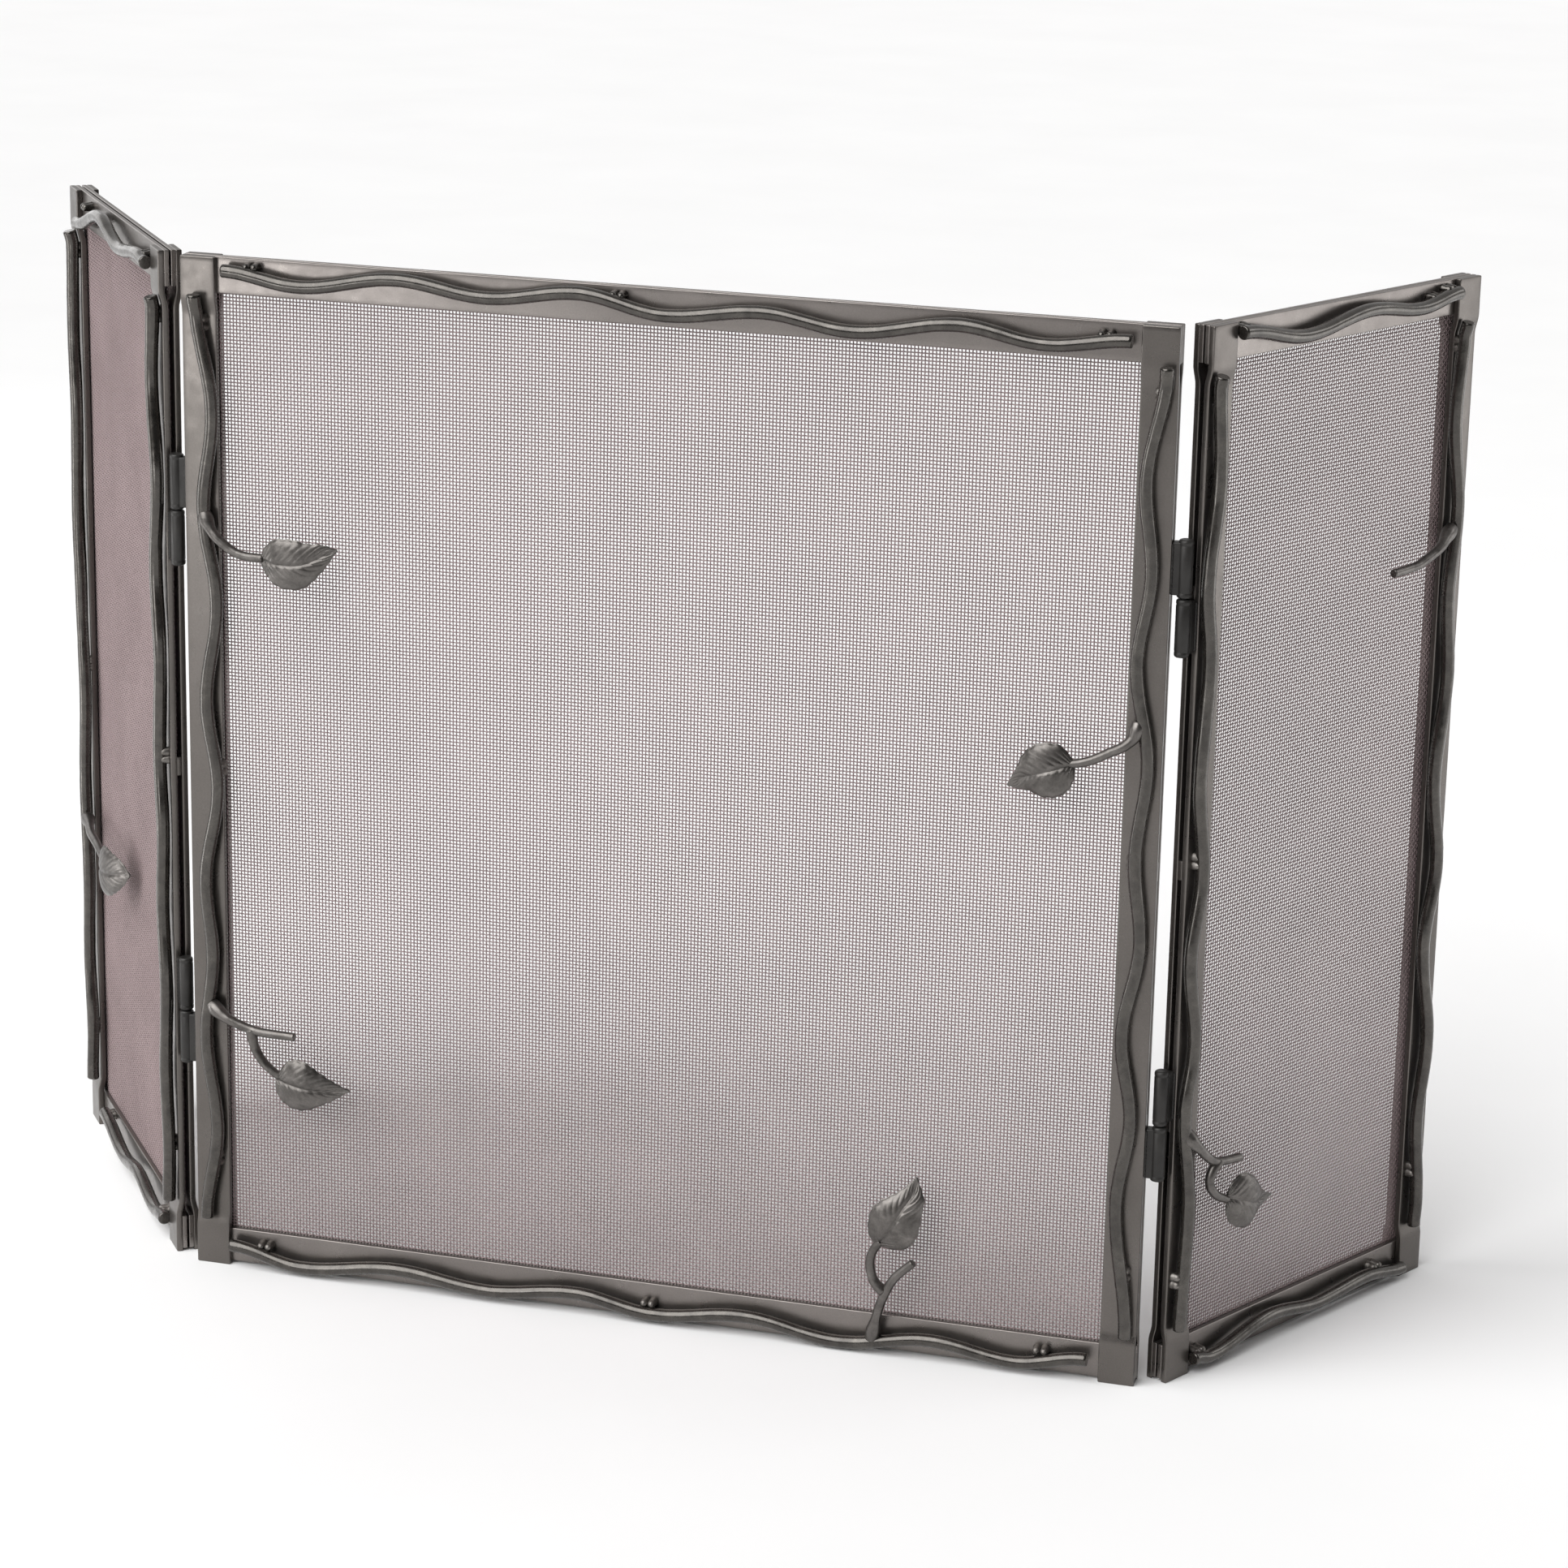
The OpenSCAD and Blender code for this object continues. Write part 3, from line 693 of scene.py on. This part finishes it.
def lobe(along, height, face, rng):
    """Lumpy stub with a domed end, spread at its foot where it is welded on."""
    dome_foot = PEG_TOP - PEG_R
    shaft = np.linspace(face, dome_foot, 8)
    depths = np.concatenate([shaft, dome_foot + PEG_R * np.sin(DOME_TURNS)])
    radii = PEG_R + 0.7 * np.exp(-(((depths - face) / 3.0) ** 2))
    radii[len(shaft):] = PEG_R * np.cos(DOME_TURNS)
    path = np.stack([np.full(len(depths), along), depths, np.full(len(depths), height)], 1)
    return rod(path, radii, rng, 20, 0.35, spread=1.6, density=1.4, bevel=0.1, reference=HEIGHT)


for seed, (prefix, pegs) in enumerate(PEGS.items()):
    rng = np.random.default_rng(700 + seed)
    groups = {"welds": [], "thorns_and_painted_shade": []}
    for along, height, face in pegs:
        level = face == RAIL_FRONT
        # Pegs on the rails above the top branches take the dark branch steel, not the weld steel:
        # partly the thorns' own dark forged finish, partly painted shade standing in for the shadow
        # the top branch casts on the rail.
        group = groups["thorns_and_painted_shade" if level and height > SCREEN_H / 2 else "welds"]
        step_along, step_up = (LOBE_OFFSET, 0.0) if level else (0.0, LOBE_OFFSET)
        for side in (-1, 1):
            group.append(lobe(along + side * step_along, height + side * step_up, face, rng))
    node = prefix + "_branch_pegs"
    new_piece(node + "_welds", PANEL_OF[prefix], groups["welds"], WELD, [node])
    new_piece(node + "_thorns", PANEL_OF[prefix], groups["thorns_and_painted_shade"], BRANCH, [node])


# ---------------------------------------------------------------- twigs
# How much a twig is thickened near its foot on a branch, and a stem on a twig,
# and where along it, as shares of its length.
TWIG_FLARE = 1.9
STEM_FLARE = 0.4
FLARE_AT = 0.08
FLARE_SPREAD = 0.11

# Points are (along, height).
TWIGS = {
    "centre_twigs": [
        [(17, 578), (21, 571), (28, 563), (40, 554), (50, 550.5), (64, 550)],
        [(17, 207), (22, 204), (31, 199.5), (41, 195.5), (52, 192.5), (62, 191.5), (84, 191)],
        [(526, 12), (529, 25.5), (532.5, 39), (537, 51.5), (544, 64), (556.5, 76.5)],
        [(702, 489), (700, 480), (694, 473.5), (685, 468.5), (673, 462), (665, 459), (656, 457)]],
    "centre_leaf_stems": [
        [(50, 193), (52, 182), (55, 175), (60, 168), (66, 163), (72, 159)],
        [(535, 52), (529, 58), (526, 65), (525, 74), (527, 82), (532, 90)]],
    "right_twigs": [
        [(6, 190), (9, 184), (15, 177), (22, 170.5), (31, 164), (41, 161), (62, 158.5)],
        [(285, 581), (275, 577), (265, 572), (255, 567.5), (245, 564.5), (235, 562), (208, 561)]],
    "right_leaf_stem": [
        [(38, 162), (31, 157), (28, 149.5), (31, 142), (38, 135.5), (50, 129.5)]],
    "left_twig": [
        [(283, 261), (262, 262), (240, 260.5), (220, 258.5), (203, 256), (187, 252.5)]],
}


def twig(points, start_d, flare, rng):
    """Tapered rod, flared near its foot, that reaches the leaves' depth by its third point."""
    points = np.asarray(points, float)
    depths = [start_d + min(1, i / 2) * (LEAF_D - start_d) for i in range(len(points))]
    path = smooth_path(np.stack([points[:, 0], depths, points[:, 1]], 1), 0.9)
    run = np.linspace(0, 1, len(path))
    swell = flare * np.exp(-(((run - FLARE_AT) / FLARE_SPREAD) ** 2))
    radii = TWIG_R + (TWIG_TIP_R - TWIG_R) * run + swell
    return rod(path, radii, rng, 20, depth=0.16, spread=2.2, density=0.9, bevel=0.5)


for seed, (node, twigs) in enumerate(TWIGS.items()):
    rng = np.random.default_rng(800 + seed)
    start_d, flare = (LEAF_D, STEM_FLARE) if "stem" in node else (BRANCH_D, TWIG_FLARE)
    rods = [twig(points, start_d, flare, rng) for points in twigs]
    new_piece(node + "_rods", panel_for(node), rods, LEAF, [node])


# ---------------------------------------------------------------- leaves
# Each leaf: its left and right edge from stem to tip, (along, height), and how
# far its tip droops.
LEAVES = {
    "centre_upper_left_leaf": (
        [
            (62, 550), (66, 557.5), (70, 562), (76, 565.5),
            (89, 566), (98, 564), (110, 563.5), (120, 560)],
        [
            (62, 549), (65, 543), (69, 537.5), (75, 532),
            (84, 530), (97, 532), (110, 545), (120, 560)], 2.5),
    "centre_lower_left_leaf": (
        [
            (69.5, 158.5), (74, 165), (79, 171.5), (86, 174.5),
            (95, 172.5), (104, 166.5), (115, 159.5), (126, 153)],
        [
            (69.5, 157), (70, 149), (75, 141.5), (84, 136.5),
            (94, 136.5), (104, 140.5), (115, 146), (126, 153)], 2.5),
    "centre_bottom_leaf": (
        [
            (529, 87), (524.5, 94), (523.5, 103), (526, 115),
            (533, 122.5), (543, 128.5), (550, 134), (557, 141)],
        [
            (531, 87), (540, 86), (549, 87), (556, 91.5),
            (560.5, 101), (562, 114), (563.5, 126), (557, 141)], 2.5),
    "centre_right_leaf": (
        [
            (660, 456), (660, 447), (656, 438.5), (648, 433.5),
            (638, 433), (629, 436), (621, 436), (613, 437)],
        [
            (660, 458), (656, 464), (650, 470), (641, 471.5),
            (632, 469), (624, 461.5), (619, 450), (613, 438)], 2.5),
    "right_leaf": (
        [
            (49, 133), (50.5, 139.5), (56, 145), (64, 147),
            (73, 143), (80, 136), (89, 126.5), (104, 118.5)],
        [
            (49, 131), (46.5, 122), (50, 113), (59, 107),
            (69, 105), (77, 109.5), (86, 114.5), (104, 118.5)], 1.5),
    "left_leaf": (
        [
            (189, 253), (186, 262), (178, 269), (168, 270.5),
            (157, 269.5), (147, 268), (140, 264.5), (135, 257)],
        [
            (189, 251), (190, 243), (187, 235.5), (178, 232.5),
            (167, 232.5), (154, 237.5), (141, 247), (135, 257)], 8.0),
}
LEAF_STATIONS = 96
LEAF_ACROSS = 41
VEINS = 10
VEIN_SLANT = 0.30
VEIN_DEPTH = 0.55
RIB_DEPTH = 1.5
RIB_W = 1.6
PUFF = 0.13
ARCH = 3.5
TOOTH = 0.35
LEAF_T = 1.5


def fade(values):
    """Ramps from 0 to 1 and holds there."""
    return np.clip(values, 0, 1)


def leaf(edges, droop):
    """Forged leaf: two puffed halves about a sunk midrib, with veins and a turned tip."""
    left, right = (evenly(smooth_path(edge, 0.25), LEAF_STATIONS) for edge in edges)
    s = np.linspace(0, 1, LEAF_STATIONS)[:, None]
    t = np.linspace(-1, 1, LEAF_ACROSS)[None, :]
    plan = left[:, None] * (1 - t[..., None]) / 2 + right[:, None] * (1 + t[..., None]) / 2
    width = np.linalg.norm(left - right, axis=1)[:, None]
    teeth = TOOTH * np.sin(s * 58) * fade(8 * s) * fade(8 * (1 - s))
    outward = unit(right - left)[:, None]
    plan = plan + outward * (teeth * np.sign(t) * np.abs(t) ** 6)[..., None]
    puff = PUFF * width * np.sqrt(fade(1 - t**2)) * np.sin(np.pi * fade(s * 0.9 + 0.06))
    rib = -RIB_DEPTH * np.exp(-((t * width / 2 / RIB_W) ** 2)) * fade(5 * (1 - s)) * fade(6 * s)
    phase = (s - VEIN_SLANT * np.abs(t)) * (VEINS + 1)
    vein = -VEIN_DEPTH * np.exp(-(((phase - np.round(phase)) / 0.15) ** 2)) * fade(np.abs(t) * 6)
    vein = vein * fade(1.15 - np.abs(t)) * (s > 0.05)
    curl = ARCH * np.sin(np.pi * fade(s * 1.02)) - droop * s**2.5
    depth = LEAF_D + puff + rib + vein + curl
    top = np.stack([plan[..., 0], depth, plan[..., 1]], -1)
    tangent_s = np.gradient(top, axis=0)
    tangent_t = np.gradient(top, axis=1)
    normal = unit(np.cross(tangent_s, tangent_t))
    normal *= np.sign(normal[..., 1:2].mean())
    half = LEAF_T / 2 * (0.45 + 0.55 * np.sqrt(fade(1 - np.abs(t) ** 4)))[..., None]
    front = top + normal * half
    back = top - normal * half
    rows, columns = LEAF_STATIONS, LEAF_ACROSS
    index = np.arange(rows * columns).reshape(rows, columns)
    a, b, c, d = index[:-1, :-1], index[:-1, 1:], index[1:, 1:], index[1:, :-1]
    face = np.stack([a, b, c, d], -1).reshape(-1, 4)
    rim = np.concatenate([index[:-1, 0], index[-1, :-1], index[:0:-1, -1], index[0, :0:-1]])
    after = np.roll(rim, -1)
    offset = rows * columns
    sides = np.stack([rim, after, after + offset, rim + offset], -1)
    quads = np.concatenate([face[:, ::-1], face + offset, sides])
    points = np.concatenate([front.reshape(-1, 3), back.reshape(-1, 3)])
    return outward_first(points, quads)


def outward_first(points, quads):
    """Turns all quads if the closed surface they make is inside out."""
    a, b, c, d = (points[quads[:, k]] for k in range(4))
    volume = (a * (np.cross(b, c) + np.cross(c, d))).sum()
    return points, (quads if volume > 0 else quads[:, ::-1]), []


for node, (*edges, droop) in LEAVES.items():
    new_piece(node + "_blade", panel_for(node), [leaf(edges, droop)], LEAF, [node])


# ---------------------------------------------------------------- hinges
class Axis:
    """Places points about a hinge axis: along points from it to a panel's stile."""

    def __init__(self, panel, axis, sign):
        self.body = panel.body
        self.corner = np.array([axis.x, axis.y, 0.0])
        self.axes = panel.axes * np.array([[sign], [1.0], [1.0]])
        self.flips = np.linalg.det(self.axes) < 0

    def place(self, points):
        return self.corner + (np.asarray(points, float) * MM) @ self.axes


def lathe(profile, sides=40):
    """Turned solid about the hinge axis from (radius, height) points, bottom to top."""
    turns = np.linspace(0, 2 * math.pi, sides, endpoint=False)
    rings = [[(r * math.cos(a), r * math.sin(a), z) for a in turns] for r, z in profile]
    return skin(rings)


def barrel(low, bored_below):
    """Barrel with a rounded cap and a rolled lip at each end, bored from one end for the pin."""
    r, groove, high = BARREL_R, BARREL_R - LIP_DEPTH, low + BARREL_L
    arc = np.linspace(0, math.pi / 2, 6)
    end = [(r - CAP_R + CAP_R * math.sin(a), CAP_R - CAP_R * math.cos(a)) for a in arc]
    end += [(r, 3.2), (groove, 3.6), (groove, 4.2), (r, 4.6)]
    bore = [(BORE_R, BORE_DEPTH), (BORE_R, BORE_CHAMFER), (BORE_R + BORE_CHAMFER, 0.0)]
    below, above = (bore + end, end) if bored_below else (end, bore + end)
    return lathe([(x, low + z) for x, z in below] + [(x, high - z) for x, z in above[::-1]])


def tab(low):
    """Tab from the barrel to the stile edge, with rounded edges."""
    return block((3.0, -TAB_T / 2, low + 2), (HALF_GAP, TAB_T / 2, low + BARREL_L - 2), 0.8)


def tab_welds(low, rng):
    """Weld beads down both long edges of the tab where it meets the stile."""
    parts = []
    for side in (-1, 1):
        heights = np.arange(low + 4, low + BARREL_L - 3, 1.0)
        path = np.array([(HALF_GAP - 0.3, side * TAB_T / 2, z) for z in heights])
        radii = 1.0 + 0.22 * np.sin(path[:, 2] * 2.1) + 0.1 * rng.uniform(-1, 1, len(path))
        parts.append(rod(path, radii, rng, 12, depth=0.1, spread=1.0, density=0.5, bevel=0.4))
    return parts


def hinge(side, axis, panel):
    """Two hinges on one axis. The fixed barrel is the higher one at the upper hinge only."""
    held = -1.0 if side == "right" else 1.0
    rng = np.random.default_rng(900 + int(held))
    for where, place, higher_at in (
        ("fixed", Axis(CENTRE, axis, held), "upper"),
        ("moving", Axis(panel, axis, 1.0), "lower"),
    ):
        node = f"{side}_hinge_{where}_barrels"
        turned, welds = [], []
        for level, middle_z in HINGE_MIDDLES.items():
            higher = level == higher_at
            low = middle_z + (BARREL_GAP / 2 if higher else -BARREL_GAP / 2 - BARREL_L)
            turned += [barrel(low, higher), tab(low)]
            welds += tab_welds(low, rng)
        new_piece(node + "_turned", place, turned, HINGE, [node])
        new_piece(node + "_welds", place, welds, HINGE, [node])


hinge("left", left_axis, LEFT)
hinge("right", right_axis, RIGHT)
for node in ("left_hinge_pins", "right_hinge_pins"):
    pins = frame["nodes"][node]
    pins.data.materials.clear()
    pins.data.materials.append(HINGE)

# ---------------------------------------------------------------- stage and camera
scene = bpy.context.scene
middle = (left_axis + right_axis) / 2


def stage():
    """Plain white floor, wide enough to reach past the picture's edges."""
    mesh = bpy.data.meshes.new("floor")
    front, back, side = -14.0, 60.0, 40.0
    verts = [(-side, front, 0.0), (side, front, 0.0), (side, back, 0.0), (-side, back, 0.0)]
    mesh.from_pydata(verts, [], [(0, 1, 2, 3)])
    n = Nodes("floor_paper")
    tone = n.ramp(n.noise(3.0, 3.0), [(0.3, (0.89, 0.89, 0.89)), (0.7, (0.91, 0.91, 0.91))])
    n.link(tone, n.shader.inputs["Base Color"])
    n.shader.inputs["Roughness"].default_value = 0.9
    n.shader.inputs["Specular IOR Level"].default_value = 0.0
    mesh.materials.append(n.material)
    floor = bpy.data.objects.new("floor", mesh)
    scene.collection.objects.link(floor)


def lamp(name, place, target, size, power):
    light = bpy.data.lights.new(name, "AREA")
    light.shape = "RECTANGLE"
    light.size, light.size_y = size
    light.energy = power
    lamp_object = bpy.data.objects.new(name, light)
    lamp_object.location = place
    aim = Vector(target) - Vector(place)
    lamp_object.rotation_euler = aim.to_track_quat("-Z", "Y").to_euler()
    lamp_object.visible_camera = False
    scene.collection.objects.link(lamp_object)


def sun(direction, strength, angle):
    light = bpy.data.lights.new("sky_panel", "SUN")
    light.energy = strength
    light.angle = math.radians(angle)
    lamp_object = bpy.data.objects.new("sky_panel", light)
    lamp_object.rotation_euler = (-Vector(direction)).to_track_quat("-Z", "Y").to_euler()
    scene.collection.objects.link(lamp_object)


def dome(front, back):
    """Studio walls: bright behind the screen, dim on the camera's side."""
    world = bpy.data.worlds.new("studio")
    scene.world = world
    world.use_nodes = True
    tree = world.node_tree
    tree.nodes["Background"].inputs["Color"].default_value = (1.0, 0.985, 0.98, 1.0)
    coord = tree.nodes.new("ShaderNodeTexCoord")
    split = tree.nodes.new("ShaderNodeSeparateXYZ")
    spread = tree.nodes.new("ShaderNodeMapRange")
    ranges = {"From Min": -0.25, "From Max": 0.45, "To Min": front, "To Max": back}
    for key, value in ranges.items():
        spread.inputs[key].default_value = value
    tree.links.new(coord.outputs["Generated"], split.inputs["Vector"])
    tree.links.new(split.outputs["Y"], spread.inputs["Value"])
    tree.links.new(spread.outputs["Result"], tree.nodes["Background"].inputs["Strength"])


def studio():
    """Soft light from the front left, with cards beside and behind for the steel to mirror."""
    dome(0.05, 0.6)
    sun((-0.5, -0.75, 0.9), 3.5, 60.0)
    lamp("key", (-0.98, -1.6, 0.45), (-0.4, 0, 0.6), (0.45, 0.4), 2.7)
    lamp("right_card", (2.2, 0.75, 0.42), (0.5, 0.1, 0.45), (0.9, 0.8), 3.6)
    lamp("left_card", (-2.6, 1.5, 1.3), (-0.5, 0.1, 0.45), (2.4, 1.2), 9)
    lamp("right_high", (2.05, 0.85, 1.6), (0.45, 0.1, 0.7), (0.9, 0.5), 3.4)
    lamp("left_strip", (-1.2, -0.3, 0.43), (-0.45, 0.05, 0.43), (0.15, 0.84), 2.4)


def camera():
    """Eye-level three-quarter view, from a little above and to the right."""
    azimuth, elevation, roll = math.radians(15.466), math.radians(16.118), math.radians(1.343)
    distance, aside, above = 3.1418, 0.11693, 0.04257
    level = math.cos(elevation)
    back = Vector((math.sin(azimuth) * level, -math.cos(azimuth) * level, math.sin(elevation)))
    right = Vector((math.cos(azimuth), math.sin(azimuth), 0.0))
    up = back.cross(right)
    screen_middle = Vector((middle.x, middle.y, SCREEN_H * MM / 2))
    place = screen_middle + right * aside + up * above + back * distance
    tilted_right = right * math.cos(roll) + up * math.sin(roll)
    tilted_up = up * math.cos(roll) - right * math.sin(roll)
    data = bpy.data.cameras.new("camera")
    data.sensor_width = 36.0
    data.lens = 101.7
    data.shift_x = -0.0282
    data.shift_y = -0.0128
    view = bpy.data.objects.new("camera", data)
    turn = Matrix((tilted_right, tilted_up, back)).transposed().to_4x4()
    view.matrix_world = Matrix.Translation(place) @ turn
    scene.collection.objects.link(view)
    scene.camera = view


stage()
studio()
camera()
scene.view_settings.view_transform = "Standard"
